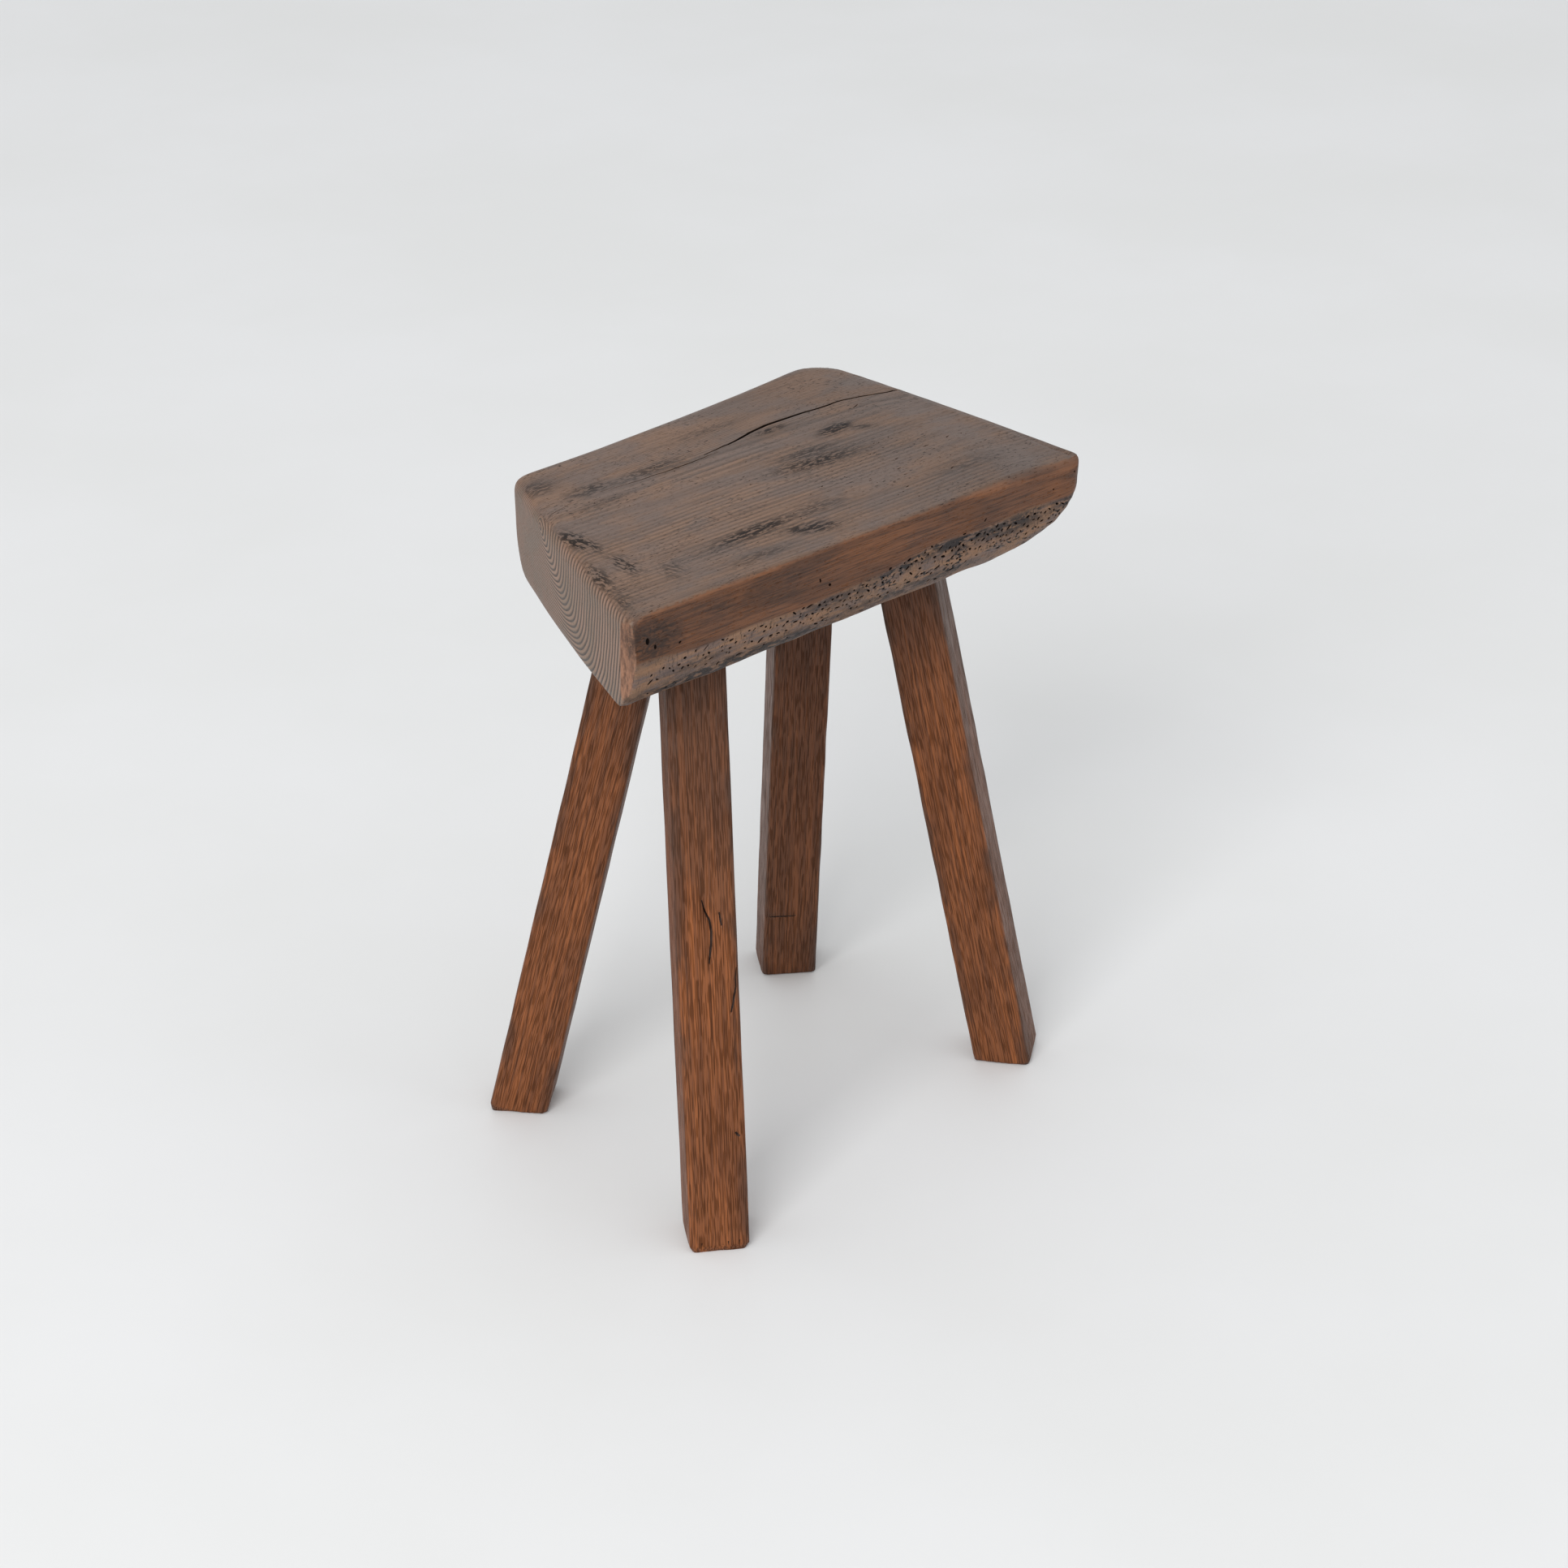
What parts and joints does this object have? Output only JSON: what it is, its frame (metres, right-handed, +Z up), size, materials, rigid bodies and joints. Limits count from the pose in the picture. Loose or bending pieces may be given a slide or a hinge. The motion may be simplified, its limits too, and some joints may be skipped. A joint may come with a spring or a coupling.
{
  "type": "milking stool",
  "caption": "Low milking stool: a thick slab seat with a natural undercut edge on splayed square legs tenoned blind into its underside.",
  "frame": {"origin": "on the floor, under the centre of the stool's bounding box", "axes": "+X along the seat's long front edge, from the skewed end to the nosed end; +Y to the back edge; +Z up"},
  "size_m": [0.3984, 0.2928, 0.46],
  "materials": {
    "seat_wood": "worn, dark oiled slab with a grey patina and a waxed sheen",
    "leg_oak": "orange-brown oiled oak with open pores",
    "wedge_wood": "raw split hardwood, never seen"
  },
  "bodies": {
    "root": {"seat": "seat_wood", "front_left_leg": "leg_oak", "front_right_leg": "leg_oak", "back_right_leg": "leg_oak", "back_left_leg": "leg_oak", "front_left_wedge": "wedge_wood", "front_right_wedge": "wedge_wood", "back_right_wedge": "wedge_wood", "back_left_wedge": "wedge_wood"}
  },
  "joints": []
}
